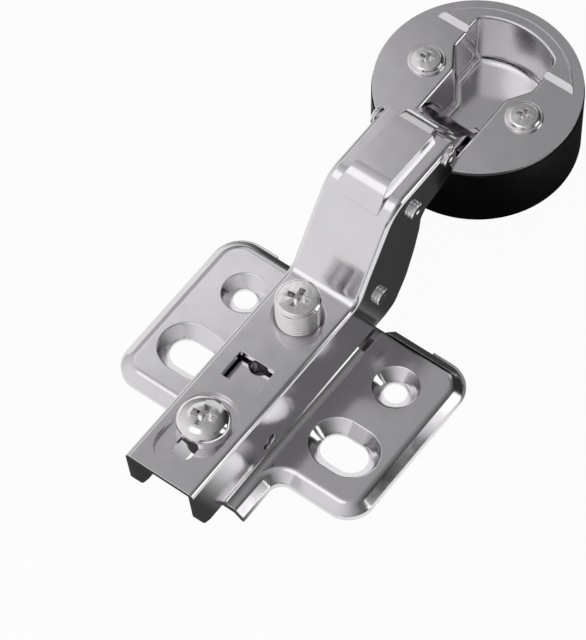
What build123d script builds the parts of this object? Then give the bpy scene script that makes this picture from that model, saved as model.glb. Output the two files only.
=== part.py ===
from build123d import *
from math import atan2, degrees
import os

# Concealed cup hinge, shown open at a right angle. Units are millimetres.
# Origin: the mounting face (underside of the plate's rim) where the line
# between the two round screw holes crosses the mid-plane. +X runs along the
# arm towards the cup, +Z away from the mounting face.

os.makedirs("parts", exist_ok=True)

# ---------------------------------------------------------------- clearances
FIT = 0.05            # radial play of a pin in a hole it turns in or is set in
SIDE_PLAY = 0.1       # play between stacked link parts along a pin
AIR = 0.3             # gap between parts that move past one another
OVERRUN = 1.0         # how far a cutting shape runs past what it cuts
NEAR = 0.01           # tolerance when edges are picked by their place
QUARTER_TURN = 90

# ------------------------------------------------------------ mounting plate
plate_sheet = 1.1
wing_top = 2.5                # height of the wings' upper face
rim_edge = 1.0                # height of the upright edge all round
border_run = 2.0              # width of the sloping border in plan
lip = 0.5                     # width of the rim's foot on the mounting face
border_bend = 2.0             # outer radius where the wing turns down
rim_bend = 0.5
wing_half_width = 26.0
wing_front = -25.4
wing_back = 9.8
wing_back_outer = 10.4        # back edge of the two outer pads
pad_start = 16.6              # distance from mid-plane where those pads start
front_corner_radius = 5.0
back_corner_radius = 5.5
relief_back = 7.8             # back edge beside the channel
relief_inner = 8.2
relief_outer = 9.5
strip_half_width = 10.1
strip_front = -35.0
strip_fillet = 2.5

screw_pitch = 32.0            # distance between the two holes of each pair
hole_diameter = 4.15
hole_sink_depth = 2.0         # depth of the countersink, as deep as it is wide
slot_x = -14.7
slot_length = 8.8
slot_width = 6.0
dimple_wall = 0.6
sink_round = 0.4              # rounding of the countersinks' upper edge

channel_half_width = 5.6
channel_top = 15.7
channel_back = 2.5
channel_bend = 1.6
foot_fillet = 2.2
spare_hole_x = -16.5
spare_hole_diameter = 3.8
neck_slot_front = -9.6

# ---------------------------------------------------------------- hinge arm
arm_sheet = 1.1
arm_half_width = 7.0
recess_depth = 1.0
arm_top = channel_top + arm_sheet + recess_depth
arm_bend = 1.0                # outer radius of the long bends
arm_rear = -43.9              # end away from the cup
crank_start = 1.5
crank_rise = 1.6              # rise over run of the cranked part
shoulder_top = 33.7
nose_x = 28.5
lower_bend_radius = 3.0
upper_bend_radius = 6.0
panel_half_width = 4.4
panel_rise_rear = 1.8         # height of the panel above the shoulder
panel_rise_front = 1.6
panel_top_rear = shoulder_top + panel_rise_rear
panel_top_front = shoulder_top + panel_rise_front
panel_foot = 0.05             # step where the flanks meet the shoulder
panel_inset = 0.2
panel_flank = 0.8
panel_front = 27.0
tongue_half_width = 3.25
tongue_end_half_width = 2.8
tongue_root_length = 2.1      # the tongue starts this far behind the nose
tongue_start = (nose_x - tongue_root_length, panel_top_front)
tongue_middle = (tongue_start[0] + 3.9, tongue_start[1] - 1.7)
tongue_tip = (tongue_start[0] + 6.8, tongue_start[1] - 6.1)
tongue_middle_angle = 34.0    # degrees that its face slopes down there
tongue_tip_angle = 58.5

# lower edge of the arm's walls from the nose back: X, Z and corner radius
wall_edge = (
    (nose_x, 26.2, 1.0),
    (27.6, 25.4, 1.0),
    (20.8, 24.1, 1.2),
    (19.4, 22.6, 1.2),
    (19.0, 19.7, 0.0),
    (17.65, 15.2, 12.0),
    (15.4, 9.8, 10.0),
    (12.2, 5.4, 2.5),
    (9.5, 4.8, 0.0),
    (-39.8, 4.8, 0.0),
    (-41.4, 5.4, 2.0),
    (-43.0, 9.1, 0.0),
)

recess_half_width = 4.95
recess_front = -25.5
recess_rear = -42.1
fixing_x = -31.8
keyhole_radius = 3.8
key_slot_half_width = 1.85
key_slot_rear = -39.2
window_front = -17.0
window_rear = -22.6
window_half_width = 3.5
window_corner = 0.4
wall_hole_x = -23.5
wall_hole_z = 7.5
wall_hole_diameter = 3.0

# -------------------------------------------------------------------- screws
adjust_x = -5.8
adjust_thread_radius = 3.95
adjust_rise = 5.5             # how far its top stands above the arm
adjust_top = arm_top + adjust_rise
adjust_rim_radius = 3.4
adjust_rim_drop = 0.55
adjust_neck_radius = 1.9
adjust_foot_radius = 3.1
adjust_foot_height = 1.3
adjust_cross = (1.2, 5.4, 1.8)  # arm width, span and depth of a cross recess
collar_radius = 4.9
collar_lip = 0.7

fixing_head_radius = 4.6
fixing_head_seat_radius = 4.3
fixing_head_widest = 1.0      # height of the head's widest line above the arm
fixing_head_rise = 2.8        # top of the head above the arm
fixing_head_flat = 1.6        # radius of its flat centre
fixing_waist_radius = 1.75
fixing_thread_radius = 2.0
fixing_length = 7.0
fixing_point = 0.6            # bevel at the tip of its thread
fixing_cross = (1.3, 5.4, 1.6)
fixing_boss_radius = 3.1
fixing_boss_depth = 2.4

# ----------------------------------------------------------- pivots (X and Z)
front_pivot = (26.6, 32.3)
rear_pivot = (17.3, 27.7)
spring_pivot = (7.8, 13.3)
rivet_radius = 1.1
rivet_head_radius = 1.65
rivet_head_height = 0.8
rivet_head_round = 0.3
rivet_groove_radius = 1.35
rivet_groove = (0.2, 0.4)       # its two sides, from the arm's wall
rivet_dimple_radius = 0.85
rivet_dimple_depth = 0.35
washer_radius = 2.3
bush_radius = 1.8

# ----------------------------------------------------------------------- cup
cup_x = 45.9
cup_top = 25.1
body_radius = 18.3
body_step = 0.15              # the body shows this far round the disc's edge
disc_radius = body_radius - body_step
disc_sheet = 1.0
body_bottom = 10.7
body_bevel = 0.5
bowl_depth = 11.0
bowl_sheet = 1.0
bowl_draft = 2.0              # degrees
bowl_floor_fillet = 1.2
bowl_rim_round = 0.6
bowl_near = -15.2             # near end of the bowl, from the cup's centre
bowl_neck_half_width = 5.35
bowl_neck_end = 0.5
bowl_flare_end = 4.6
bowl_half_width = 8.0
bowl_far_radius = 14.0
bowl_corner = 2.0
bowl_near_corner = 1.5
crescent_start = 8.0
crescent_radius = 16.2
crescent_height = 0.8
crescent_bevel = 0.9
crescent_foot = 0.05          # upright edge left below the bevel
crescent_round = 0.4
outer_pin = (-7.2, -4.4)      # from the cup's centre and its upper face
inner_pin = (-11.8, -2.7)
outer_pin_radius = 1.25
inner_pin_radius = 1.1
cup_pin_half_length = 7.6
cup_screw_offset = -0.9
cup_screw_half_pitch = 10.15
cup_screw_head_radius = 3.35
cup_screw_head_height = 1.0
cup_screw_head_round = 0.7
cup_screw_point = 0.5
cup_screw_radius = 1.6
cup_screw_length = 9.6
cup_screw_cross = (0.9, 3.6, 1.4)
insert_radius = 2.6
insert_length = 8.0

# -------------------------------------------------------------------- links
outer_pin_at = (cup_x + outer_pin[0], cup_top + outer_pin[1])
inner_pin_at = (cup_x + inner_pin[0], cup_top + inner_pin[1])

link_half_width = 4.85
ear_inner = 3.6
front_ear_radius = 1.6
front_ear_outer = 3.05          # half-width across the ears, inside the arm's panel
front_ear_inner = 1.4
outer_eye_radius = 2.2
bar_offset = (-1.6, 3.1)        # bar's centre from the cup's outer pin
bar_radius = 0.9
web_sheet = 1.2
web_length = 4.2
bar_centre = (outer_pin_at[0] + bar_offset[0], outer_pin_at[1] + bar_offset[1])
# side plate of the outer link, as offsets from the cup's outer pin
side_plate_edge = (
    (-9.7, 9.5),
    (-7.5, 9.2),
    (-5.1, 7.4),
    (-0.7, 3.5),
    (1.9, 1.1),
    (-1.8, -1.2),
    (-2.8, 1.6),
    (-3.4, 3.0),
    (-5.3, 3.8),
    (-7.4, 5.3),
    (-9.7, 7.9),
)
# web and ears of the outer link, as offsets from the arm's front pivot
web_edge = (
    (6.4, -4.4),
    (5.3, -4.05),
    (4.3, -3.0),
    (4.3, -4.1),
    (5.6, -5.0),
)
ear_edge = (
    (1.0, 1.2),
    (3.2, -0.9),
    (4.7, -3.4),
    (4.7, -4.3),
    (2.0, -2.4),
    (-0.7, -1.4),
)
inner_plate_outer = 2.8
inner_plate_inner = 1.2
inner_eye_radius = 2.0
# inner link: top and bottom of its rear half from the rear pivot, and its
# front half from the cup's inner pin
inner_top_edge = (
    (-0.7, 2.5),
    (6.7, 1.5),
    (12.7, 0.3),
)
inner_front_edge = (
    (-2.2, 4.6),
    (-1.0, 2.9),
    (1.5, 1.3),
    (-1.2, -1.5),
    (-2.9, 1.0),
    (-3.1, 3.1),
)
inner_low_edge = (
    (6.7, -2.2),
    (-1.8, -3.1),
)
slot_path = (
    (0.15, 0.15),
    (-1.4, 1.04),
    (-5.05, -0.55),
)
slot_play = 0.35              # extra half-width of the rear slot
slot_wall = 0.9
follower_offset = (-1.7, -3.3)
follower_radius = 0.9
follower_lobe = 1.8
follower = (rear_pivot[0] + follower_offset[0], rear_pivot[1] + follower_offset[1])

wire_radius = 0.6
coil_radius = 2.6
coil_pitch = 1.3
coil_length = 5.2
long_leg_end = (13.3, 22.6)
short_leg_height = 7.0


def nearest(shapes, x, y):
    """Vertex of the sketch being drawn that lies closest to a local point."""
    return shapes.sort_by_distance((x, y, 0))[0]


def cross_rod(centre, radius, half_length):
    """Cylinder across the hinge, centred on the mid-plane."""
    rod = Cylinder(radius, 2 * half_length, rotation=(90, 0, 0), mode=Mode.PRIVATE)
    return Pos(centre[0], 0, centre[1]) * rod


def around(centre, offsets):
    """Points given as offsets from a pivot or pin."""
    return [(centre[0] + dx, centre[1] + dz) for dx, dz in offsets]


def sheet_below(point, angle):
    """Point one sheet inside a face of the arm that slopes down at an angle."""
    inward = Vector(0, arm_sheet).rotate(Axis.Z, -angle)
    return (point[0] - inward.X, point[1] - inward.Y)


def cross_slot_tool(width, length, depth):
    """Two crossed bars and a centre cone that cut a cross recess."""
    bar_x = Box(length, width, depth, mode=Mode.PRIVATE)
    bar_y = Box(width, length, depth, mode=Mode.PRIVATE)
    core = Cylinder(width * 0.85, depth * 1.3, mode=Mode.PRIVATE)
    return bar_x + bar_y + core


# ============================================================ mounting plate
border_drop = wing_top - rim_edge
border_angle = degrees(atan2(border_run, border_drop))  # from the vertical
pocket_top = wing_top - plate_sheet
hole_radius = hole_diameter / 2

with BuildSketch(Plane.XY) as plate_outline:
    with Locations(((wing_front + wing_back) / 2, 0)):
        Rectangle(wing_back - wing_front, 2 * wing_half_width)
    for side in (1, -1):
        fillet(
            nearest(plate_outline.vertices(), wing_front, side * wing_half_width),
            radius=front_corner_radius,
        )
        fillet(
            nearest(plate_outline.vertices(), wing_back, side * wing_half_width),
            radius=back_corner_radius,
        )
    with Locations((strip_front - border_run, 0)):
        Rectangle(
            wing_front - strip_front + 2 * border_run,
            2 * strip_half_width,
            align=(Align.MIN, Align.CENTER),
        )
    for side in (1, -1):
        fillet(
            nearest(plate_outline.vertices(), wing_front, side * strip_half_width),
            radius=strip_fillet,
        )

with BuildPart() as mounting_plate:
    with BuildSketch(Plane.XY):
        add(plate_outline.sketch)
    extrude(amount=rim_edge)
    with BuildSketch(Plane.XY.offset(rim_edge)):
        add(plate_outline.sketch)
    extrude(amount=border_drop, taper=border_angle)
    fillet(faces().sort_by(Axis.Z)[-1].edges(), radius=border_bend)
    rim_top = [
        edge
        for edge in edges()
        if abs(edge.center().Z - rim_edge) < NEAR
    ]
    fillet(rim_top, radius=rim_bend)
    # outer pads of the back edge
    pad_reach = wing_back_outer - wing_back
    for side in (1, -1):
        with BuildSketch(Plane.XY):
            with Locations((wing_back - back_corner_radius, side * pad_start)):
                Rectangle(
                    back_corner_radius + pad_reach,
                    wing_half_width - pad_start,
                    align=(Align.MIN, Align.MIN if side > 0 else Align.MAX),
                )
            pad_corner = nearest(vertices(), wing_back_outer, side * wing_half_width)
            fillet(pad_corner, radius=back_corner_radius)
        extrude(amount=rim_edge - rim_bend)
    with BuildSketch(Plane.XY):
        add(plate_outline.sketch)
        offset(amount=-lip, mode=Mode.REPLACE)
    extrude(amount=pocket_top, taper=border_angle, mode=Mode.SUBTRACT)
    # dimples that reach down to the mounting face
    with BuildSketch(Plane.XY):
        with Locations((0, screw_pitch / 2), (0, -screw_pitch / 2)):
            Circle(hole_radius + dimple_wall)
        with Locations((slot_x, screw_pitch / 2), (slot_x, -screw_pitch / 2)):
            SlotOverall(
                slot_length + 2 * dimple_wall,
                slot_width + 2 * dimple_wall,
                rotation=90,
            )
    extrude(amount=pocket_top, taper=-45)
    # raised channel that carries the arm
    with BuildSketch(Plane.YZ.offset(strip_front)):
        with Locations((0, pocket_top)):
            Rectangle(
                2 * channel_half_width,
                channel_top - pocket_top,
                align=(Align.CENTER, Align.MIN),
            )
        for side in (1, -1):
            fillet(
                nearest(vertices(), side * channel_half_width, channel_top),
                radius=channel_bend,
            )
        foot_x = channel_half_width + foot_fillet
        foot_z = wing_top + foot_fillet
        with Locations(
            (channel_half_width + foot_fillet / 2, foot_z - foot_fillet / 2),
            (-channel_half_width - foot_fillet / 2, foot_z - foot_fillet / 2),
        ):
            Rectangle(foot_fillet, foot_fillet)
        with Locations((foot_x, foot_z), (-foot_x, foot_z)):
            Circle(foot_fillet, mode=Mode.SUBTRACT)
    extrude(amount=channel_back - strip_front)
    with BuildSketch(Plane.YZ.offset(strip_front - border_run)):
        with Locations((0, -OVERRUN)):
            Rectangle(
                2 * (channel_half_width - plate_sheet),
                channel_top - plate_sheet + OVERRUN,
                align=(Align.CENTER, Align.MIN),
            )
    extrude(
        amount=wing_back - strip_front + border_run + OVERRUN,
        mode=Mode.SUBTRACT,
    )
    # square front end of the strip, and relief in the back edge by the channel
    with BuildSketch(Plane.XY):
        with Locations((strip_front, 0)):
            Rectangle(
                border_run + OVERRUN,
                4 * strip_half_width,
                align=(Align.MAX, Align.CENTER),
            )
        Polygon(
            (relief_back, relief_inner),
            (wing_back + OVERRUN, relief_outer),
            (wing_back + OVERRUN, -relief_outer),
            (relief_back, -relief_inner),
            align=None,
        )
    extrude(amount=channel_top + OVERRUN, mode=Mode.SUBTRACT)
    # countersunk holes and slots
    with BuildSketch(Plane.XY.offset(wing_top)):
        with Locations((0, screw_pitch / 2), (0, -screw_pitch / 2)):
            Circle(hole_radius + hole_sink_depth)
        with Locations((slot_x, screw_pitch / 2), (slot_x, -screw_pitch / 2)):
            SlotOverall(
                slot_length + 2 * hole_sink_depth,
                slot_width + 2 * hole_sink_depth,
                rotation=90,
            )
    extrude(amount=-hole_sink_depth, taper=45, mode=Mode.SUBTRACT)
    with BuildSketch(Plane.XY):
        with Locations((0, screw_pitch / 2), (0, -screw_pitch / 2)):
            Circle(hole_radius)
        with Locations((slot_x, screw_pitch / 2), (slot_x, -screw_pitch / 2)):
            SlotOverall(slot_length, slot_width, rotation=90)
    extrude(amount=wing_top, mode=Mode.SUBTRACT)
    sink_edges = [
        edge
        for edge in edges()
        for sink_x in (0, slot_x)
        if abs(edge.center().Z - wing_top) < NEAR
        and abs(edge.center().X - sink_x) < slot_width / 2 + hole_sink_depth + NEAR
        and abs(abs(edge.center().Y) - screw_pitch / 2)
        < slot_length / 2 + hole_sink_depth + NEAR
    ]
    fillet(sink_edges, radius=sink_round)
    # threaded boss for the fixing screw
    with BuildSketch(Plane.XY.offset(channel_top - plate_sheet)):
        with Locations((fixing_x, 0)):
            Circle(fixing_boss_radius)
    extrude(amount=-fixing_boss_depth)
    # openings in the channel's top
    with BuildSketch(Plane.XY.offset(channel_top)):
        with Locations((fixing_x, 0)):
            Circle(fixing_thread_radius + FIT)
        with Locations((spare_hole_x, 0)):
            Circle(spare_hole_diameter / 2)
        neck_slot_half = adjust_neck_radius + AIR
        with Locations((neck_slot_front + neck_slot_half, 0)):
            Circle(neck_slot_half)
            Rectangle(
                channel_back - neck_slot_front,
                2 * neck_slot_half,
                align=(Align.MIN, Align.CENTER),
            )
    extrude(amount=-plate_sheet - fixing_boss_depth, mode=Mode.SUBTRACT)

mounting_plate.part.label = "mounting_plate"
export_step(mounting_plate.part, "parts/mounting_plate.step")

# ================================================================= hinge arm
crank_end = crank_start + (shoulder_top - arm_top) / crank_rise
slope = (1 + crank_rise**2) ** 0.5
inner_start = crank_start + arm_sheet * (slope - 1) / crank_rise
inner_end = crank_end + arm_sheet * (slope - 1) / crank_rise
panel_rear = crank_start + (panel_top_rear - arm_top) / crank_rise

with BuildPart() as hinge_arm:
    with BuildSketch(Plane.XZ) as arm_side:
        with BuildLine():
            Polyline(
                (arm_rear, arm_top),
                (crank_start, arm_top),
                (crank_end, shoulder_top),
                (nose_x, shoulder_top),
                *[(x, z) for x, z, radius in wall_edge],
                close=True,
            )
        make_face()
        fillet(nearest(vertices(), crank_start, arm_top), radius=lower_bend_radius)
        fillet(nearest(vertices(), crank_end, shoulder_top), radius=upper_bend_radius)
        for x, z, radius in wall_edge:
            if radius > 0:
                fillet(nearest(vertices(), x, z), radius=radius)
    extrude(amount=arm_half_width, both=True)
    top_edges = [
        edge
        for edge in edges()
        if abs(abs(edge.center().Y) - arm_half_width) < NEAR
        and edge.center().Z > arm_top - arm_sheet / 2
        and (edge.center().X < crank_end or edge.center().Z > shoulder_top - arm_sheet / 2)
        and edge.center().X < nose_x - arm_sheet / 2
    ]
    fillet(top_edges, radius=arm_bend)
    # raised centre panel that carries on the crank's slope
    with BuildSketch(Plane.XZ):
        with BuildLine():
            Polyline(
                (crank_end - arm_sheet, shoulder_top - arm_sheet * crank_rise),
                (panel_rear, panel_top_rear),
                (panel_front, panel_top_front),
                (panel_front, shoulder_top - arm_sheet / 2),
                (crank_end, shoulder_top - 2 * arm_sheet),
                close=True,
            )
        make_face()
        fillet(nearest(vertices(), panel_rear, panel_top_rear), radius=upper_bend_radius)
    extrude(amount=panel_half_width, both=True)
    # sloping flanks of the panel
    with BuildSketch(Plane.YZ.offset(crank_start)):
        for side in (1, -1):
            Polygon(
                (side * (panel_half_width - panel_flank), panel_top_rear + 2 * panel_foot),
                (side * panel_half_width, shoulder_top + panel_foot),
                (side * arm_half_width, shoulder_top + panel_foot),
                (side * arm_half_width, panel_top_rear + 2 * panel_foot),
                align=None,
            )
    extrude(amount=panel_front - crank_start, mode=Mode.SUBTRACT)
    # hollow inside
    with BuildSketch(Plane.XZ):
        with BuildLine():
            Polyline(
                (arm_rear - OVERRUN, arm_top - arm_sheet),
                (inner_start, arm_top - arm_sheet),
                (inner_end, shoulder_top - arm_sheet),
                (nose_x + OVERRUN, shoulder_top - arm_sheet),
                (nose_x + OVERRUN, -OVERRUN),
                (arm_rear - OVERRUN, -OVERRUN),
                close=True,
            )
        make_face()
        fillet(
            nearest(vertices(), inner_start, arm_top - arm_sheet),
            radius=lower_bend_radius + arm_sheet,
        )
        fillet(
            nearest(vertices(), inner_end, shoulder_top - arm_sheet),
            radius=upper_bend_radius - arm_sheet,
        )
    extrude(amount=arm_half_width - arm_sheet, both=True, mode=Mode.SUBTRACT)
    with BuildSketch(Plane.XZ):
        Polygon(
            (inner_end - panel_inset, shoulder_top - 2 * arm_sheet),
            (panel_rear + arm_sheet, panel_top_rear - arm_sheet - panel_inset),
            (nose_x + OVERRUN, panel_top_front - arm_sheet),
            (nose_x + OVERRUN, shoulder_top - 2 * arm_sheet),
            align=None,
        )
        fillet(
            nearest(vertices(), panel_rear, panel_top_rear),
            radius=upper_bend_radius - arm_sheet,
        )
    extrude(amount=panel_half_width - arm_sheet, both=True, mode=Mode.SUBTRACT)
    # tongue bent down over the links
    with BuildSketch(Plane.XZ):
        with BuildLine():
            tip_direction = Vector(1, 0).rotate(Axis.Z, -tongue_tip_angle)
            tongue_over = Spline(
                tongue_start,
                tongue_middle,
                tongue_tip,
                tangents=((1, 0), tip_direction),
            )
            tongue_under = Spline(
                sheet_below(tongue_start, 0),
                sheet_below(tongue_middle, tongue_middle_angle),
                sheet_below(tongue_tip, tongue_tip_angle),
                tangents=((1, 0), tip_direction),
            )
            Line(tongue_over @ 0, tongue_under @ 0)
            Line(tongue_over @ 1, tongue_under @ 1)
        make_face()
    extrude(amount=tongue_half_width, both=True)
    with BuildSketch(Plane.XY.offset(tongue_tip[1] - 2 * arm_sheet)):
        for side in (1, -1):
            Polygon(
                (nose_x, side * tongue_half_width),
                (tongue_tip[0] + OVERRUN, side * tongue_end_half_width),
                (tongue_tip[0] + OVERRUN, side * (tongue_half_width + OVERRUN)),
                (nose_x, side * (tongue_half_width + OVERRUN)),
                align=None,
            )
    extrude(
        amount=tongue_start[1] - tongue_tip[1] + 3 * arm_sheet,
        mode=Mode.SUBTRACT,
    )
    # recess for the fixing screw's head, seated on the channel
    recess_span = recess_front - recess_rear
    with BuildSketch(Plane.XY.offset(channel_top)):
        with Locations(((recess_front + recess_rear) / 2, 0)):
            SlotOverall(recess_span + arm_sheet, 2 * recess_half_width + arm_sheet)
    extrude(amount=arm_sheet)
    with BuildSketch(Plane.XY.offset(arm_top)):
        with Locations(((recess_front + recess_rear) / 2, 0)):
            SlotOverall(recess_span, 2 * recess_half_width)
    extrude(amount=-recess_depth, mode=Mode.SUBTRACT)
    with BuildSketch(Plane.XY.offset(arm_top)):
        with Locations((fixing_x, 0)):
            Circle(keyhole_radius)
        key_rear_centre = key_slot_rear + key_slot_half_width
        with Locations((key_rear_centre, 0)):
            Circle(key_slot_half_width)
            Rectangle(
                fixing_x - key_rear_centre,
                2 * key_slot_half_width,
                align=(Align.MIN, Align.CENTER),
            )
        with Locations(((window_front + window_rear) / 2, 0)):
            RectangleRounded(
                window_front - window_rear, 2 * window_half_width, window_corner
            )
    extrude(amount=-recess_depth - arm_sheet, mode=Mode.SUBTRACT)
    # threaded collar of the adjusting screw
    with BuildSketch(Plane.XY.offset(channel_top + AIR)):
        with Locations((adjust_x, 0)):
            Circle(collar_radius)
    extrude(amount=arm_top - channel_top - AIR)
    with BuildSketch(Plane.XY.offset(channel_top)):
        with Locations((adjust_x, 0)):
            Circle(adjust_thread_radius + FIT)
    extrude(amount=arm_top - channel_top, mode=Mode.SUBTRACT)
    collar_edge = (
        edges()
        .filter_by(GeomType.CIRCLE)
        .sort_by_distance((adjust_x + adjust_thread_radius, 0, arm_top))[0]
    )
    fillet(collar_edge, radius=collar_lip)
    # rivet holes and the round hole low in both walls
    for pivot in (front_pivot, rear_pivot, spring_pivot):
        add(
            cross_rod(pivot, rivet_radius + FIT, arm_half_width + OVERRUN),
            mode=Mode.SUBTRACT,
        )
    add(
        cross_rod(
            (wall_hole_x, wall_hole_z), wall_hole_diameter / 2, arm_half_width + OVERRUN
        ),
        mode=Mode.SUBTRACT,
    )

hinge_arm.part.label = "hinge_arm"
export_step(hinge_arm.part, "parts/hinge_arm.step")


# =================================================================== rivets
def rivet(centre):
    """Shank across both walls of the arm, its heads grooved and dimpled."""
    wall = arm_half_width
    head_end = wall + rivet_head_height
    with BuildPart() as result:
        with BuildSketch(Plane.XY):
            with BuildLine():
                Polyline(
                    (0, 0),
                    (rivet_radius, 0),
                    (rivet_radius, wall),
                    (rivet_head_radius, wall),
                    (rivet_head_radius, wall + rivet_groove[0]),
                    (rivet_groove_radius, wall + rivet_groove[0]),
                    (rivet_groove_radius, wall + rivet_groove[1]),
                    (rivet_head_radius, wall + rivet_groove[1]),
                    (rivet_head_radius, head_end),
                    (rivet_dimple_radius, head_end),
                    (0, head_end - rivet_dimple_depth),
                    close=True,
                )
            make_face()
            rim = nearest(vertices(), rivet_head_radius, head_end)
            fillet(rim, radius=rivet_head_round)
        revolve(axis=Axis.Y)
        mirror(about=Plane.XZ)
    return Pos(centre[0], 0, centre[1]) * result.part


front_rivet = rivet(front_pivot)
front_rivet.label = "front_rivet"
export_step(front_rivet, "parts/front_rivet.step")

rear_rivet = rivet(rear_pivot)
rear_rivet.label = "rear_rivet"
export_step(rear_rivet, "parts/rear_rivet.step")

spring_rivet = rivet(spring_pivot)
spring_rivet.label = "spring_rivet"
export_step(spring_rivet, "parts/spring_rivet.step")

# ================================================== washers, bush and spring
washer_outer = arm_half_width - arm_sheet - FIT

with BuildPart() as rear_spacers:
    for side in (1, -1):
        with BuildSketch(Plane.XZ.offset(side * (inner_plate_outer + SIDE_PLAY))):
            with Locations(rear_pivot):
                Circle(washer_radius)
                Circle(rivet_radius + FIT, mode=Mode.SUBTRACT)
        extrude(amount=side * (washer_outer - inner_plate_outer - SIDE_PLAY))

rear_spacers.part.label = "rear_spacers"
export_step(rear_spacers.part, "parts/rear_spacers.step")

with BuildPart() as spring_bush:
    with BuildSketch(Plane.XZ):
        with Locations(spring_pivot):
            Circle(bush_radius)
            Circle(rivet_radius + FIT, mode=Mode.SUBTRACT)
    extrude(amount=washer_outer, both=True)

spring_bush.part.label = "spring_bush"
export_step(spring_bush.part, "parts/spring_bush.step")

with BuildPart() as closing_spring:
    coil_start = (spring_pivot[0], -coil_length / 2, spring_pivot[1])
    with BuildLine() as coil_line:
        Helix(
            pitch=coil_pitch,
            height=coil_length,
            radius=coil_radius,
            center=coil_start,
            direction=(0, 1, 0),
        )
    coil = coil_line.line
    with BuildSketch(Plane(origin=coil @ 0, z_dir=coil % 0)):
        Circle(wire_radius)
    sweep(path=coil, is_frenet=True)
    for end, target in (
        (coil @ 0, None),
        (coil @ 1, long_leg_end),
    ):
        if target is None:
            tip = (end.X, end.Y, end.Z + short_leg_height)
        else:
            tip = (target[0], end.Y, target[1])
        with BuildLine() as leg_line:
            leg = Line((end.X, end.Y, end.Z), tip)
        with BuildSketch(Plane(origin=leg @ 0, z_dir=leg % 0)):
            Circle(wire_radius)
        sweep(path=leg)

closing_spring.part.label = "closing_spring"
export_step(closing_spring.part, "parts/closing_spring.step")

# =================================================================== screws
with BuildPart() as adjusting_screw:
    thread_bottom = channel_top + AIR
    foot_top = channel_top - plate_sheet - AIR
    with BuildSketch(Plane.XZ):
        with BuildLine():
            Polyline(
                (0, adjust_top),
                (adjust_rim_radius, adjust_top),
                (adjust_thread_radius, adjust_top - adjust_rim_drop),
                (adjust_thread_radius, thread_bottom),
                (adjust_neck_radius, thread_bottom),
                (adjust_neck_radius, foot_top),
                (adjust_foot_radius, foot_top),
                (adjust_foot_radius, foot_top - adjust_foot_height),
                (0, foot_top - adjust_foot_height),
                close=True,
            )
        make_face()
    revolve(axis=Axis.Z)
    add(
        Pos(0, 0, adjust_top - adjust_cross[2] / 2) * cross_slot_tool(*adjust_cross),
        mode=Mode.SUBTRACT,
    )

adjusting_screw.part.position = (adjust_x, 0, 0)
adjusting_screw.part.label = "adjusting_screw"
export_step(adjusting_screw.part, "parts/adjusting_screw.step")

with BuildPart() as fixing_screw:
    head_bottom = channel_top + arm_sheet
    head_top = arm_top + fixing_head_rise
    with BuildSketch(Plane.XZ):
        with BuildLine():
            widest = arm_top + fixing_head_widest
            Line((0, head_top), (fixing_head_flat, head_top))
            EllipticalCenterArc(
                (fixing_head_flat, widest),
                fixing_head_radius - fixing_head_flat,
                head_top - widest,
                start_angle=0,
                arc_size=QUARTER_TURN,
            )
            Polyline(
                (fixing_head_radius, widest),
                (fixing_head_seat_radius, head_bottom),
                (fixing_waist_radius, head_bottom),
                (fixing_waist_radius, channel_top),
                (fixing_thread_radius, channel_top),
                (fixing_thread_radius, channel_top - fixing_length + fixing_point),
                (fixing_thread_radius - fixing_point, channel_top - fixing_length),
                (0, channel_top - fixing_length),
                (0, head_top),
            )
        make_face()
    revolve(axis=Axis.Z)
    add(
        Pos(0, 0, head_top - fixing_cross[2] / 2) * cross_slot_tool(*fixing_cross),
        mode=Mode.SUBTRACT,
    )

fixing_screw.part.position = (fixing_x, 0, 0)
fixing_screw.part.label = "fixing_screw"
export_step(fixing_screw.part, "parts/fixing_screw.step")


# ====================================================================== cup
def bowl_face(growth):
    """Plan of the bowl's inside, grown outwards by a given amount."""
    far = (bowl_far_radius**2 - bowl_half_width**2) ** 0.5
    with BuildSketch() as plan:
        with BuildLine():
            Polyline(
                (far, bowl_half_width),
                (bowl_flare_end, bowl_half_width),
                (bowl_neck_end, bowl_neck_half_width),
                (bowl_near, bowl_neck_half_width),
                (bowl_near, -bowl_neck_half_width),
                (bowl_neck_end, -bowl_neck_half_width),
                (bowl_flare_end, -bowl_half_width),
                (far, -bowl_half_width),
            )
            ThreePointArc((far, -bowl_half_width), (bowl_far_radius, 0), (far, bowl_half_width))
        make_face()
        for side in (1, -1):
            for x, y, r in (
                (far, bowl_half_width, bowl_corner),
                (bowl_flare_end, bowl_half_width, bowl_corner),
                (bowl_neck_end, bowl_neck_half_width, bowl_corner),
                (bowl_near, bowl_neck_half_width, bowl_near_corner),
            ):
                fillet(nearest(plan.vertices(), x, side * y), radius=r)
        if growth > 0:
            offset(amount=growth, mode=Mode.REPLACE)
    return plan.sketch


def bowl_block(growth, depth, floor_fillet):
    """Tapered solid that fills the bowl, hanging from the cup's upper face."""
    with BuildPart() as block:
        with BuildSketch(Plane.XY):
            add(bowl_face(growth))
        extrude(amount=-depth, taper=bowl_draft)
        fillet(block.faces().sort_by(Axis.Z)[0].edges(), radius=floor_fillet)
    return block.part


bowl_inside = bowl_block(0, bowl_depth, bowl_floor_fillet)
bowl_outside = bowl_block(bowl_sheet, bowl_depth + bowl_sheet, bowl_floor_fillet + bowl_sheet)
bowl_pocket = bowl_block(
    bowl_sheet + SIDE_PLAY, bowl_depth + bowl_sheet, bowl_floor_fillet + bowl_sheet - SIDE_PLAY
)
cup_screw_spots = [
    (cup_x + cup_screw_offset, cup_screw_half_pitch),
    (cup_x + cup_screw_offset, -cup_screw_half_pitch),
]

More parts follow.
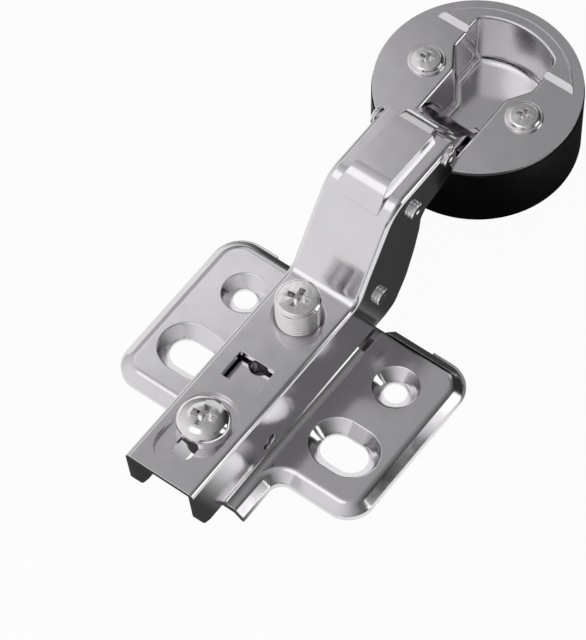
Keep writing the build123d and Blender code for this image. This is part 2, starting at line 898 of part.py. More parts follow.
with BuildPart() as cup_plate:
    with BuildSketch(Plane.XY.offset(cup_top - disc_sheet)):
        with Locations((cup_x, 0)):
            Circle(disc_radius)
    extrude(amount=disc_sheet)
    add(Pos(cup_x, 0, cup_top) * bowl_outside)
    add(Pos(cup_x, 0, cup_top) * bowl_inside, mode=Mode.SUBTRACT)
    mouth = faces().filter_by(Plane.XY).sort_by(Axis.Z)[-1].inner_wires()[0]
    fillet(mouth.edges(), radius=bowl_rim_round)
    # raised crescent along the far side of the bowl
    with BuildSketch(Plane.XY.offset(cup_top - bowl_rim_round)):
        with Locations((cup_x, 0)):
            Circle(crescent_radius)
            with Locations((crescent_start, 0)):
                Rectangle(
                    4 * crescent_radius,
                    4 * crescent_radius,
                    align=(Align.MAX, Align.CENTER),
                    mode=Mode.SUBTRACT,
                )
    extrude(amount=bowl_rim_round + crescent_height)
    crescent_edge = [
        edge
        for edge in edges().filter_by(GeomType.LINE)
        if abs(edge.center().Z - cup_top - crescent_height) < NEAR
        and abs(edge.center().X - cup_x - crescent_start) < NEAR
    ]
    chamfer(crescent_edge, length=crescent_height - crescent_foot, length2=crescent_bevel)
    add(Pos(cup_x, 0, cup_top) * bowl_inside, mode=Mode.SUBTRACT)
    with BuildSketch(Plane.XY.offset(cup_top)):
        with Locations((cup_x, 0)):
            add(bowl_face(0))
    extrude(amount=2 * crescent_height, mode=Mode.SUBTRACT)
    crescent_edges = [
        edge
        for edge in edges()
        if abs(edge.center().Z - cup_top - crescent_height) < NEAR
        and edge.center().X - cup_x > crescent_start + crescent_bevel + NEAR
    ]
    fillet(crescent_edges, radius=crescent_round)
    with BuildSketch(Plane.XY.offset(cup_top)):
        with Locations(*cup_screw_spots):
            Circle(cup_screw_radius + FIT)
    extrude(amount=-disc_sheet, mode=Mode.SUBTRACT)
    add(
        cross_rod(outer_pin_at, outer_pin_radius + FIT, cup_pin_half_length),
        mode=Mode.SUBTRACT,
    )
    add(
        cross_rod(inner_pin_at, inner_pin_radius + FIT, cup_pin_half_length),
        mode=Mode.SUBTRACT,
    )

cup_plate.part.label = "cup_plate"
export_step(cup_plate.part, "parts/cup_plate.step")

with BuildPart() as cup_body:
    with BuildSketch(Plane.XY.offset(body_bottom)):
        with Locations((cup_x, 0)):
            Circle(body_radius)
    extrude(amount=cup_top - disc_sheet - body_bottom)
    chamfer(cup_body.faces().sort_by(Axis.Z)[0].edges(), length=body_bevel)
    add(Pos(cup_x, 0, cup_top) * bowl_pocket, mode=Mode.SUBTRACT)
    with BuildSketch(Plane.XY.offset(cup_top - disc_sheet)):
        with Locations(*cup_screw_spots):
            Circle(insert_radius)
    extrude(amount=-insert_length, mode=Mode.SUBTRACT)
    with BuildSketch(Plane.XY.offset(cup_top - disc_sheet)):
        with Locations(*cup_screw_spots):
            Circle(cup_screw_radius + FIT)
    extrude(amount=-cup_screw_length, mode=Mode.SUBTRACT)
    add(
        cross_rod(outer_pin_at, outer_pin_radius + FIT, cup_pin_half_length + FIT),
        mode=Mode.SUBTRACT,
    )
    add(
        cross_rod(inner_pin_at, inner_pin_radius + FIT, cup_pin_half_length + FIT),
        mode=Mode.SUBTRACT,
    )

cup_body.part.label = "cup_body"
export_step(cup_body.part, "parts/cup_body.step")

with BuildPart() as cup_inserts:
    with BuildSketch(Plane.XY.offset(cup_top - disc_sheet)):
        with Locations(*cup_screw_spots):
            Circle(insert_radius)
            Circle(cup_screw_radius + FIT, mode=Mode.SUBTRACT)
    extrude(amount=-insert_length)

cup_inserts.part.label = "cup_inserts"
export_step(cup_inserts.part, "parts/cup_inserts.step")


def cup_screw(spot):
    """Pan-head screw with a cross recess."""
    with BuildPart() as screw:
        with BuildSketch(Plane.XY.offset(cup_top)):
            with Locations(spot):
                Circle(cup_screw_head_radius)
        extrude(amount=cup_screw_head_height)
        fillet(screw.faces().sort_by(Axis.Z)[-1].edges(), radius=cup_screw_head_round)
        with BuildSketch(Plane.XY.offset(cup_top)):
            with Locations(spot):
                Circle(cup_screw_radius)
        extrude(amount=-cup_screw_length)
        chamfer(screw.faces().sort_by(Axis.Z)[0].edges(), length=cup_screw_point)
        recess_middle = cup_top + cup_screw_head_height - cup_screw_cross[2] / 2
        add(
            Pos(spot[0], spot[1], recess_middle) * cross_slot_tool(*cup_screw_cross),
            mode=Mode.SUBTRACT,
        )
    return screw.part


cup_screw_left = cup_screw(cup_screw_spots[0])
cup_screw_left.label = "cup_screw_left"
export_step(cup_screw_left, "parts/cup_screw_left.step")

cup_screw_right = cup_screw(cup_screw_spots[1])
cup_screw_right.label = "cup_screw_right"
export_step(cup_screw_right, "parts/cup_screw_right.step")

with BuildPart() as cup_pin_outer:
    with BuildSketch(Plane.XZ):
        with Locations(outer_pin_at):
            Circle(outer_pin_radius)
    extrude(amount=cup_pin_half_length, both=True)

cup_pin_outer.part.label = "cup_pin_outer"
export_step(cup_pin_outer.part, "parts/cup_pin_outer.step")

with BuildPart() as cup_pin_inner:
    with BuildSketch(Plane.XZ):
        with Locations(inner_pin_at):
            Circle(inner_pin_radius)
    extrude(amount=cup_pin_half_length, both=True)

cup_pin_inner.part.label = "cup_pin_inner"
export_step(cup_pin_inner.part, "parts/cup_pin_inner.step")

# ==================================================================== links
web_run = (front_pivot[0] - bar_centre[0], front_pivot[1] - bar_centre[1])
web_norm = (web_run[0] ** 2 + web_run[1] ** 2) ** 0.5
web_dir = (web_run[0] / web_norm, web_run[1] / web_norm)
web_up = (web_dir[1], -web_dir[0])


def web_point(along, across):
    """Point beside the bar, measured along and across the link's web."""
    return (
        bar_centre[0] + along * web_dir[0] + across * web_up[0],
        bar_centre[1] + along * web_dir[1] + across * web_up[1],
    )


with BuildPart() as outer_link:
    # side plates down to the eyes on the cup's outer pin
    with BuildSketch(Plane.XZ):
        with Locations(outer_pin_at):
            Circle(outer_eye_radius)
        Polygon(
            *around(outer_pin_at, side_plate_edge),
            align=None,
        )
    extrude(amount=link_half_width, both=True)
    with BuildSketch(Plane.XZ):
        with Locations(outer_pin_at):
            Rectangle(2 * web_norm, 4 * web_norm)
    extrude(amount=ear_inner, both=True, mode=Mode.SUBTRACT)
    # bar and web across the full width, in front of the tongue
    with BuildSketch(Plane.XZ):
        with Locations(bar_centre):
            Circle(bar_radius)
        Polygon(
            web_point(0, bar_radius),
            web_point(web_length, bar_radius),
            *around(front_pivot, web_edge),
            web_point(web_length, bar_radius - web_sheet),
            web_point(0, bar_radius - web_sheet),
            align=None,
        )
    extrude(amount=link_half_width, both=True)
    # narrow ears under the tongue, up to the front pivot
    with BuildSketch(Plane.XZ):
        with Locations(front_pivot):
            Circle(front_ear_radius)
        Polygon(*around(front_pivot, ear_edge), align=None)
    extrude(amount=front_ear_outer, both=True)
    with BuildSketch(Plane.XZ):
        with Locations(front_pivot):
            Rectangle(5 * front_ear_radius, 4 * front_ear_radius)
    extrude(amount=front_ear_inner, both=True, mode=Mode.SUBTRACT)
    add(cross_rod(front_pivot, rivet_radius + FIT, 2 * arm_half_width), mode=Mode.SUBTRACT)
    add(
        cross_rod(outer_pin_at, outer_pin_radius + FIT, 2 * arm_half_width),
        mode=Mode.SUBTRACT,
    )

outer_link.part.label = "outer_link"
export_step(outer_link.part, "parts/outer_link.step")

slot_half = rivet_radius + slot_play


def slotted_plate(inner, outer):
    """One pair of link plates between two distances from the mid-plane."""
    with BuildPart() as plates:
        for side in (1, -1):
            with BuildSketch(Plane.XZ.offset(side * inner)):
                with Locations(inner_pin_at):
                    Circle(inner_eye_radius)
                with Locations(follower):
                    Circle(follower_lobe)
                with BuildLine(mode=Mode.PRIVATE) as slot_line:
                    ThreePointArc(*around(rear_pivot, slot_path))
                SlotArc(slot_line.edges()[0], 2 * (slot_half + slot_wall))
                Polygon(
                    *around(rear_pivot, inner_top_edge),
                    *around(inner_pin_at, inner_front_edge),
                    *around(rear_pivot, inner_low_edge),
                    align=None,
                )
                SlotArc(slot_line.edges()[0], 2 * slot_half, mode=Mode.SUBTRACT)
                with Locations(inner_pin_at):
                    Circle(inner_pin_radius + FIT, mode=Mode.SUBTRACT)
                with Locations(follower):
                    Circle(follower_radius, mode=Mode.SUBTRACT)
            extrude(amount=side * (outer - inner))
    return plates.part


inner_link = slotted_plate(inner_plate_inner, inner_plate_outer)
inner_link.label = "inner_link"
export_step(inner_link, "parts/inner_link.step")

with BuildPart() as follower_pin:
    with BuildSketch(Plane.XZ):
        with Locations(follower):
            Circle(follower_radius)
    extrude(amount=inner_plate_outer, both=True)

follower_pin.part.label = "follower_pin"
export_step(follower_pin.part, "parts/follower_pin.step")

with BuildPart() as link_spacer:
    with BuildSketch(Plane.XZ):
        with Locations(inner_pin_at):
            Circle(inner_eye_radius - 0.1)
            Circle(inner_pin_radius + FIT, mode=Mode.SUBTRACT)
    extrude(amount=inner_plate_inner, both=True)

link_spacer.part.label = "link_spacer"
export_step(link_spacer.part, "parts/link_spacer.step")
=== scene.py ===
"""Looks of a concealed cup hinge: a winged mounting plate, a cranked slide-on
arm, a pair of links and a round cup, all in nickel-plated pressed steel."""

import logging
import math
from dataclasses import dataclass
from enum import Enum

import bmesh
import bpy
from mathutils import Matrix, Vector

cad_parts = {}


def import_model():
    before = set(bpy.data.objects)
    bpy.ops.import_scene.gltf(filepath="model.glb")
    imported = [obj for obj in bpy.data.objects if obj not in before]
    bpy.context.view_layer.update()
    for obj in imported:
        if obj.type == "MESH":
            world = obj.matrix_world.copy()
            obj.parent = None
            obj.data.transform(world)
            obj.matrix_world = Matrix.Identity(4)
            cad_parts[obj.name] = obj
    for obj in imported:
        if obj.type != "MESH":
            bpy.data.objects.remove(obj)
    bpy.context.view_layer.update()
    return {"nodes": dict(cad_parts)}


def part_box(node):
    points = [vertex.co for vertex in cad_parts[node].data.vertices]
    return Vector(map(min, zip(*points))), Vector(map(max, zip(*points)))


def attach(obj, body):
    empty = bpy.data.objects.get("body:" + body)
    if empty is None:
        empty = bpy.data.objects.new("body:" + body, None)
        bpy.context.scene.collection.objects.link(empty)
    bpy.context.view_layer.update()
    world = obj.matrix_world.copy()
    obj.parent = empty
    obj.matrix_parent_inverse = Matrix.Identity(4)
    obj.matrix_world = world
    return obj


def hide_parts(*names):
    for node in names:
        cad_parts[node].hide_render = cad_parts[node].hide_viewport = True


MM = 0.001
WELD_MM = 0.001
ROUNDING_SEGMENTS = 3
EDGE_SEGMENTS = 2
NOISE_LOW, NOISE_HIGH = 0.3, 0.7
UPRIGHT = Matrix.Identity(3)
ACROSS = Matrix.Rotation(math.pi / 2, 3, "X")
log = logging.getLogger("hinge")

Pairs = tuple[tuple[float, float], ...]


# ------------------------------------------------------------ shader helpers


def linear(hex_colour: str) -> tuple[float, float, float, float]:
    """Turns an sRGB hex colour into linear light.

    Args:
        hex_colour: Six hex digits, such as "C8C6C7".

    Returns:
        Red, green, blue and alpha, linear.
    """
    channels = [int(hex_colour[i : i + 2], 16) / 255 for i in (0, 2, 4)]
    return (*(c / 12.92 if c <= 0.04045 else ((c + 0.055) / 1.055) ** 2.4 for c in channels), 1.0)


def add_node(
    tree: bpy.types.NodeTree, kind: str, links: dict | None = None, **settings
) -> bpy.types.Node:
    """Adds one shader node with its settings, and links its inputs.

    Args:
        tree: The material's or world's node tree.
        kind: The node's type, such as "ShaderNodeTexNoise".
        links: Input name or index to the output socket that feeds it.
        settings: Properties by name, or inputs by name with spaces as _.

    Returns:
        The new node.
    """
    node = tree.nodes.new(kind)
    for name, value in settings.items():
        socket = node.inputs.get(name.replace("_", " "))
        if socket is not None and not hasattr(node, name):
            socket.default_value = value
        else:
            setattr(node, name, value)
    for name, source in (links or {}).items():
        tree.links.new(source, node.inputs[name])
    return node


def blank_material(name: str) -> bpy.types.Material:
    """Makes a material whose node tree is empty.

    Args:
        name: The material's name.

    Returns:
        The material.
    """
    made = bpy.data.materials.new(name)
    made.use_nodes = True
    made.node_tree.nodes.clear()
    return made


def noise(
    tree: bpy.types.NodeTree, place: bpy.types.NodeSocket, size_mm: float, detail: float
) -> bpy.types.NodeSocket:
    """Adds a noise pattern of a real size.

    Args:
        tree: The material's node tree.
        place: The point on the object.
        size_mm: Size of the pattern's largest spots.
        detail: How many finer layers lie over them.

    Returns:
        The pattern's value.
    """
    made = add_node(
        tree, "ShaderNodeTexNoise", {"Vector": place}, Scale=1 / (size_mm * MM), Detail=detail
    )
    return made.outputs["Fac"]


def uneven(
    tree: bpy.types.NodeTree, pattern: bpy.types.NodeSocket, low: float, high: float
) -> bpy.types.NodeSocket:
    """Spreads a noise pattern over a range of values.

    Args:
        tree: The material's node tree.
        pattern: The noise, which lies mostly from NOISE_LOW to NOISE_HIGH.
        low: The value where the pattern is low.
        high: The value where it is high.

    Returns:
        The spread value.
    """
    made = add_node(
        tree, "ShaderNodeMapRange", {"Value": pattern},
        From_Min=NOISE_LOW, From_Max=NOISE_HIGH, To_Min=low, To_Max=high,
    )
    return made.outputs["Result"]


def relief(
    tree: bpy.types.NodeTree, pattern: bpy.types.NodeSocket, height_mm: float,
    under: bpy.types.NodeSocket | None = None,
) -> bpy.types.NodeSocket:
    """Turns a pattern into a relief of a real height.

    Args:
        tree: The material's node tree.
        pattern: The relief's pattern.
        height_mm: Its height.
        under: The normal that the relief lies on, if not the surface's own.

    Returns:
        The normal with the relief.
    """
    links = {"Height": pattern}
    if under is not None:
        links["Normal"] = under
    made = add_node(tree, "ShaderNodeBump", links, Strength=1.0, Distance=height_mm * MM)
    return made.outputs["Normal"]


def reach_beyond(
    tree: bpy.types.NodeTree, place: bpy.types.NodeSocket, middle: Vector, half: Vector
) -> bpy.types.NodeSocket:
    """Measures how far a point lies outside a rectangle in X and Y.

    Args:
        tree: The node tree.
        place: The point.
        middle: The rectangle's middle.
        half: Half its size.

    Returns:
        The distance, below zero inside.
    """
    offset = add_node(tree, "ShaderNodeVectorMath", {0: place}, operation="SUBTRACT")
    offset.inputs[1].default_value = middle
    spread = add_node(tree, "ShaderNodeVectorMath", {0: offset.outputs[0]}, operation="ABSOLUTE")
    beyond = add_node(tree, "ShaderNodeVectorMath", {0: spread.outputs[0]}, operation="SUBTRACT")
    beyond.inputs[1].default_value = half
    parts = add_node(tree, "ShaderNodeSeparateXYZ", {0: beyond.outputs[0]})
    farther = add_node(
        tree, "ShaderNodeMath", {0: parts.outputs["X"], 1: parts.outputs["Y"]},
        operation="MAXIMUM",
    )
    return farther.outputs[0]


# ----------------------------------------------------------------- finishes


@dataclass(frozen=True)
class Finish:
    """A surface finish; each kind of material builds its own nodes."""

    name: str

    def material(self) -> bpy.types.Material:
        """Makes the finish's material once, and then shares it.

        Returns:
            The material.
        """
        found = bpy.data.materials.get(self.name)
        if found is not None:
            return found
        made = blank_material(self.name)
        tree = made.node_tree
        shader = add_node(tree, "ShaderNodeBsdfPrincipled")
        add_node(tree, "ShaderNodeOutputMaterial", {"Surface": shader.outputs["BSDF"]})
        self.fill(tree, shader)
        return made

    def fill(self, tree: bpy.types.NodeTree, shader: bpy.types.Node) -> None:
        """Sets the shader and adds the nodes that feed it.

        Args:
            tree: The material's node tree.
            shader: Its Principled shader.
        """
        raise NotImplementedError

    def dress(self, obj: bpy.types.Object) -> None:
        """Gives a whole piece this finish.

        Args:
            obj: The piece.
        """
        obj.data.materials.clear()
        obj.data.materials.append(self.material())


@dataclass(frozen=True)
class NickelPlate(Finish):
    """Bright plating or bare metal: a clean mirror, softened by the faint
    waves and the fine grain of the metal under it."""

    colour: str = "E9E7E9"
    shade: str = "DDDBDE"
    cloud_mm: float = 9.0
    roughness: float = 0.11
    roughness_spread: float = 0.06
    smear_mm: float = 3.0
    grain_mm: float = 0.35
    grain_height_mm: float = 0.0004
    wave_mm: float = 6.0
    wave_height_mm: float = 0.03
    edge_mm: float = 0.18
    edge_samples: int = 6

    def fill(self, tree: bpy.types.NodeTree, shader: bpy.types.Node) -> None:
        """Adds cloudy tone, uneven gloss, soft edges, waves and grain.

        Args:
            tree: The material's node tree.
            shader: Its Principled shader.
        """
        place = add_node(tree, "ShaderNodeTexCoord").outputs["Object"]
        clouds = noise(tree, place, self.cloud_mm, detail=3.0)
        tone = add_node(tree, "ShaderNodeMix", {"Factor": clouds}, data_type="RGBA")
        tone.inputs["A"].default_value = linear(self.colour)
        tone.inputs["B"].default_value = linear(self.shade)
        smears = noise(tree, place, self.smear_mm, detail=4.0)
        gloss = uneven(tree, smears, self.roughness, self.roughness + self.roughness_spread)
        edge = add_node(
            tree, "ShaderNodeBevel", samples=self.edge_samples, Radius=self.edge_mm * MM
        )
        waves = noise(tree, place, self.wave_mm, detail=1.0)
        wavy = relief(tree, waves, self.wave_height_mm, under=edge.outputs["Normal"])
        grain = noise(tree, place, self.grain_mm, detail=2.0)
        grainy = relief(tree, grain, self.grain_height_mm, under=wavy)
        shader.inputs["Metallic"].default_value = 1.0
        tree.links.new(tone.outputs["Result"], shader.inputs["Base Color"])
        tree.links.new(gloss, shader.inputs["Roughness"])
        tree.links.new(grainy, shader.inputs["Normal"])


@dataclass(frozen=True)
class MouldedPlastic(Finish):
    """Injection-moulded plastic: satin, with a fine spark-eroded texture."""

    colour: str = "020202"
    roughness: float = 0.34
    roughness_below: float = 0.05
    roughness_above: float = 0.08
    cloud_mm: float = 6.0
    gloss: float = 0.12
    texture_mm: float = 0.18
    texture_height_mm: float = 0.004

    def fill(self, tree: bpy.types.NodeTree, shader: bpy.types.Node) -> None:
        """Adds uneven gloss and the mould's texture.

        Args:
            tree: The material's node tree.
            shader: Its Principled shader.
        """
        place = add_node(tree, "ShaderNodeTexCoord").outputs["Object"]
        clouds = noise(tree, place, self.cloud_mm, detail=3.0)
        low, high = self.roughness - self.roughness_below, self.roughness + self.roughness_above
        texture = noise(tree, place, self.texture_mm, detail=2.0)
        shader.inputs["Base Color"].default_value = linear(self.colour)
        shader.inputs["Specular IOR Level"].default_value = self.gloss
        tree.links.new(uneven(tree, clouds, low, high), shader.inputs["Roughness"])
        tree.links.new(
            relief(tree, texture, self.texture_height_mm), shader.inputs["Normal"]
        )


# Plated sheet: light grey with broad soft reflections, and a bright line
# along every bend and cut edge.
PRESSED_NICKEL = NickelPlate("nickel_plated_pressed_steel")

# Plated screws, pins and rivets: brighter and sharper than the sheets, with
# small waves that break each reflection into light and dark patches.
TURNED_NICKEL = NickelPlate(
    "nickel_plated_turned_steel", colour="F6F4F5", shade="E6E4E6", roughness=0.07,
    wave_mm=1.8, wave_height_mm=0.05,
)

# Unplated wire with a film of oil: dark and blurred, so that the coils read
# as a different metal inside the arm.
SPRING_STEEL = NickelPlate(
    "oiled_spring_steel", colour="8E8E90", shade="7C7C7E", roughness=0.3
)

# Almost pure black with a low sheen, which sets off the cup's bright plate.
BLACK_PLASTIC = MouldedPlastic("moulded_black_nylon")

# Undyed nylon: milky white with a soft gloss.
NATURAL_NYLON = MouldedPlastic("moulded_natural_nylon", colour="E4E2DA", gloss=0.5)

# Unplated brass: warm yellow, with a dull sheen.
TURNED_BRASS = NickelPlate("turned_brass", colour="D8B46A", shade="C9A45C", roughness=0.22)


# ------------------------------------------------------------- mesh helpers


class Side(Enum):
    """The two sides of the hinge, by the sign of their Y."""

    LEFT = 1
    RIGHT = -1


def new_object(name: str, mesh: bmesh.types.BMesh) -> bpy.types.Object:
    """Turns a bmesh into a linked object and frees the bmesh.

    Args:
        name: The object's name.
        mesh: The bmesh, used up.

    Returns:
        The object, at the origin.
    """
    data = bpy.data.meshes.new(name)
    mesh.to_mesh(data)
    mesh.free()
    obj = bpy.data.objects.new(name, data)
    bpy.context.scene.collection.objects.link(obj)
    return obj


def pour(obj: bpy.types.Object, mesh: bmesh.types.BMesh) -> None:
    """Moves an object's mesh into a bmesh and removes the object.

    Args:
        obj: The object, used up.
        mesh: The bmesh that takes its faces.
    """
    mesh.from_mesh(obj.data)
    bpy.data.objects.remove(obj)


def stand(mesh: bmesh.types.BMesh, turn: Matrix, place_mm: Vector) -> None:
    """Turns a mesh made on the Z axis and moves it to its place.

    Args:
        mesh: The mesh to move.
        turn: Rotation about the origin.
        place_mm: Where the origin goes.
    """
    move = Matrix.Translation(place_mm * MM) @ turn.to_4x4()
    bmesh.ops.transform(mesh, matrix=move, verts=mesh.verts)


def centre_mm(node: str) -> Vector:
    """Finds the middle of a CAD node's box.

    Args:
        node: The node's name.

    Returns:
        The middle, in millimetres.
    """
    low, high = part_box(node)
    return (low + high) / 2 / MM


def half_mm(node: str) -> tuple[float, float, float]:
    """Finds half the size of a CAD node's box.

    Args:
        node: The node's name.

    Returns:
        Half its length along X, Y and Z, in millimetres.
    """
    low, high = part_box(node)
    half_x, half_y, half_z = ((end - start) / 2 / MM for start, end in zip(low, high))
    return half_x, half_y, half_z


def carve(obj: bpy.types.Object, cutters: list[bpy.types.Object]) -> None:
    """Cuts shapes out of a piece for good.

    Args:
        obj: The piece to be cut.
        cutters: The shapes, removed afterwards.
    """
    for cutter in cutters:
        cut = obj.modifiers.new("cut", "BOOLEAN")
        cut.operation = "DIFFERENCE"
        cut.solver = "EXACT"
        cut.object = cutter
    ready = obj.evaluated_get(bpy.context.evaluated_depsgraph_get())
    data = bpy.data.meshes.new_from_object(ready)
    obj.modifiers.clear()
    obj.data = data
    for cutter in cutters:
        bpy.data.objects.remove(cutter)


def finish_edges(obj: bpy.types.Object, width_mm: float, angle_deg: float = 35.0) -> None:
    """Breaks a piece's sharp edges and shades it evenly.

    Args:
        obj: The piece.
        width_mm: Width of the broken edge; none where it is zero.
        angle_deg: Edges sharper than this are broken.
    """
    obj.data.shade_smooth()
    if width_mm > 0:
        edges = obj.modifiers.new("broken_edges", "BEVEL")
        edges.width = width_mm * MM
        edges.segments = EDGE_SEGMENTS
        edges.limit_method = "ANGLE"
        edges.angle_limit = math.radians(angle_deg)
        edges.harden_normals = True
    even = obj.modifiers.new("even_shading", "WEIGHTED_NORMAL")
    even.keep_sharp = True


def put(obj: bpy.types.Object, finish: Finish, body: str, slot: str, *nodes: str) -> None:
    """Dresses a finished piece and puts it on its body.

    Args:
        obj: The piece, in place.
        finish: Its surface.
        body: The CAD body that it moves with.
        slot: The material slot's name; not used.
        nodes: The CAD nodes that it stands for.
    """
    finish.dress(obj)
    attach(obj, body)
    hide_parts(*nodes)
    log.info("%s on %s: %d faces", obj.name, body, len(obj.data.polygons))


@dataclass(frozen=True)
class Turned:
    """A piece turned on the Z axis, whose outline is radius and height pairs."""

    outline_mm: Pairs
    rounding_mm: float = 0.08
    steps: int = 96

    def mesh(self) -> bmesh.types.BMesh:
        """Rounds the outline's corners and spins it once round the Z axis.

        Returns:
            The piece's mesh.
        """
        made = bmesh.new()
        ends = [made.verts.new((radius * MM, 0, up * MM)) for radius, up in self.outline_mm]
        for pair in zip(ends, ends[1:]):
            made.edges.new(pair)
        bmesh.ops.bevel(
            made, geom=ends[1:-1], offset=self.rounding_mm * MM, affect="VERTICES",
            segments=ROUNDING_SEGMENTS, profile=0.5, clamp_overlap=True, material=-1,
        )
        bmesh.ops.spin(
            made, geom=made.verts[:] + made.edges[:], cent=(0, 0, 0), axis=(0, 0, 1),
            angle=math.tau, steps=self.steps, use_merge=True,
        )
        bmesh.ops.remove_doubles(made, verts=made.verts, dist=WELD_MM * MM)
        bmesh.ops.recalc_face_normals(made, faces=made.faces)
        return made


@dataclass(frozen=True)
class Thread:
    """A rolled V-thread round the Z axis. A negative depth winds it inside a
    hole, and the shares are those of the pitch."""

    crest_mm: float
    pitch_mm: float
    depth_mm: float
    foot_mm: float
    top_mm: float
    steps: int = 72
    flank_share: float = 0.3
    crest_share: float = 0.15

    def wind_on(self, made: bmesh.types.BMesh) -> None:
        """Adds the thread's turns to a mesh.

        Args:
            made: The mesh that gets the thread.
        """
        root = self.crest_mm - self.depth_mm
        turns = int((self.top_mm - self.foot_mm) / self.pitch_mm) - 1
        rise, width = self.flank_share, self.crest_share
        shape = (
            (0.0, root), (rise, self.crest_mm), (rise + width, self.crest_mm),
            (2 * rise + width, root),
        )
        places = [
            (radius, self.foot_mm + (turn + share) * self.pitch_mm)
            for turn in range(turns)
            for share, radius in shape
        ]
        places.append((root, self.foot_mm + turns * self.pitch_mm))
        points = [made.verts.new((radius * MM, 0, up * MM)) for radius, up in places]
        chain = [made.edges.new(pair) for pair in zip(points, points[1:])]
        bmesh.ops.spin(
            made, geom=points + chain, cent=(0, 0, 0), axis=(0, 0, 1),
            dvec=(0, 0, self.pitch_mm * MM / self.steps), angle=math.tau, steps=self.steps,
        )
        bmesh.ops.remove_doubles(made, verts=made.verts, dist=WELD_MM * MM)
        bmesh.ops.recalc_face_normals(made, faces=made.faces)


@dataclass(frozen=True)
class CrossRecess:
    """A cross recess: two tapered wings and a pointed core. The tapers are
    shares of the wing's size; the core's sizes are shares of the wing's
    width and of the depth."""

    arm_width_mm: float
    span_mm: float
    depth_mm: float
    span_taper: float = 0.42
    width_taper: float = 0.8
    core_foot: float = 0.15
    core_top: float = 1.15
    core_depth: float = 2.2
    core_sides: int = 48

    def cutters(self, top_mm: float) -> list[bpy.types.Object]:
        """Makes the shapes that cut the recess, on the Z axis.

        Args:
            top_mm: Height of the head's top.

        Returns:
            Two crossed wings and the core.
        """
        made = []
        for name, turn in (("wing_a", 0.0), ("wing_b", math.pi / 2)):
            mesh = bmesh.new()
            bmesh.ops.create_cube(mesh, size=1.0)
            low = [vert for vert in mesh.verts if vert.co.z < 0]
            bmesh.ops.scale(mesh, vec=(self.span_taper, self.width_taper, 1.0), verts=low)
            size = Vector((self.span_mm, self.arm_width_mm, 2 * self.depth_mm)) * MM
            bmesh.ops.scale(mesh, vec=size, verts=mesh.verts)
            stand(mesh, Matrix.Rotation(turn, 3, "Z"), Vector((0, 0, top_mm)))
            made.append(new_object(name, mesh))
        mesh = bmesh.new()
        bmesh.ops.create_cone(
            mesh, cap_ends=True, segments=self.core_sides,
            radius1=self.core_foot * self.arm_width_mm * MM,
            radius2=self.core_top * self.arm_width_mm * MM,
            depth=self.core_depth * self.depth_mm * MM,
        )
        stand(mesh, UPRIGHT, Vector((0, 0, top_mm)))
        made.append(new_object("core", mesh))
        return made


# ------------------------------------------------------------------- screws


@dataclass(frozen=True)
class Screw:
    """A screw with a rolled thread and a cross recess, on an upright axis."""

    thread: Thread
    recess: CrossRecess
    foot_mm: float
    top_mm: float
    rounding_mm: float
    edge_mm: float = 0.05
    root_overlap_mm: float = 0.01

    def root_mm(self) -> float:
        """Finds the core's radius under the thread.

        Returns:
            A little more than the root's radius, so that no gap is left.
        """
        return self.thread.crest_mm - self.thread.depth_mm + self.root_overlap_mm

    def outline(self) -> Pairs:
        """Draws the core.

        Returns:
            Its radius and height pairs, from its foot to its top.
        """
        raise NotImplementedError

    def make(self, node: str, body: str, turn_deg: float) -> None:
        """Turns the core, cuts the cross and winds the thread.

        Args:
            node: The CAD node that the screw stands for.
            body: The CAD body that it moves with.
            turn_deg: How far the cross is turned from the X axis.
        """
        core = new_object(node + "_core", Turned(self.outline(), self.rounding_mm).mesh())
        carve(core, self.recess.cutters(self.top_mm))
        mesh = bmesh.new()
        pour(core, mesh)
        self.thread.wind_on(mesh)
        axis = centre_mm(node)
        turn = Matrix.Rotation(math.radians(turn_deg), 3, "Z")
        stand(mesh, turn, Vector((axis.x, axis.y, 0)))
        screw = new_object(node + "_turned", mesh)
        finish_edges(screw, self.edge_mm)
        put(screw, TURNED_NICKEL, body, "nickel_screw", node)


@dataclass(frozen=True)
class AdjustingScrew(Screw):
    """Headless adjusting screw that stands in the arm's threaded collar. Its
    crown is given by inset from the thread's crest and depth below the top."""

    thread: Thread = Thread(crest_mm=3.94, pitch_mm=0.75, depth_mm=0.36, foot_mm=15.9, top_mm=23.5)
    recess: CrossRecess = CrossRecess(arm_width_mm=1.15, span_mm=5.8, depth_mm=1.7)
    foot_mm: float = 13.0
    top_mm: float = 23.3
    rounding_mm: float = 0.12
    foot_top_mm: float = 14.3
    foot_radius_mm: float = 3.1
    neck_radius_mm: float = 1.9
    thread_foot_mm: float = 16.0
    thread_end_mm: float = 0.85
    crown_mm: Pairs = ((0.0, 0.65), (0.05, 0.45), (0.54, 0.04))

    def outline(self) -> Pairs:
        """Draws the round foot, the neck, the threaded core and the crown.

        Returns:
            Radius and height pairs.
        """
        root, crest = self.root_mm(), self.thread.crest_mm
        crown = ((crest - inset, self.top_mm - down) for inset, down in self.crown_mm)
        return (
            (0, self.foot_mm), (self.foot_radius_mm, self.foot_mm),
            (self.foot_radius_mm, self.foot_top_mm), (self.neck_radius_mm, self.foot_top_mm),
            (self.neck_radius_mm, self.thread_foot_mm), (root, self.thread_foot_mm),
            (root, self.top_mm - self.thread_end_mm), *crown, (0, self.top_mm),
        )

    def build(self) -> None:
        """Makes the screw."""
        self.make("adjusting_screw", "adjusting_screw", turn_deg=8)


@dataclass(frozen=True)
class PointedScrew(Screw):
    """A screw whose shank narrows towards its foot."""

    taper_in_mm: float = 0.4
    taper_up_mm: float = 0.5

    def point(self) -> Pairs:
        """Draws the foot, up to where the shank has its full width.

        Returns:
            The outline's first radius and height pairs.
        """
        root = self.root_mm()
        return (
            (0, self.foot_mm), (root - self.taper_in_mm, self.foot_mm),
            (root, self.foot_mm + self.taper_up_mm),
        )


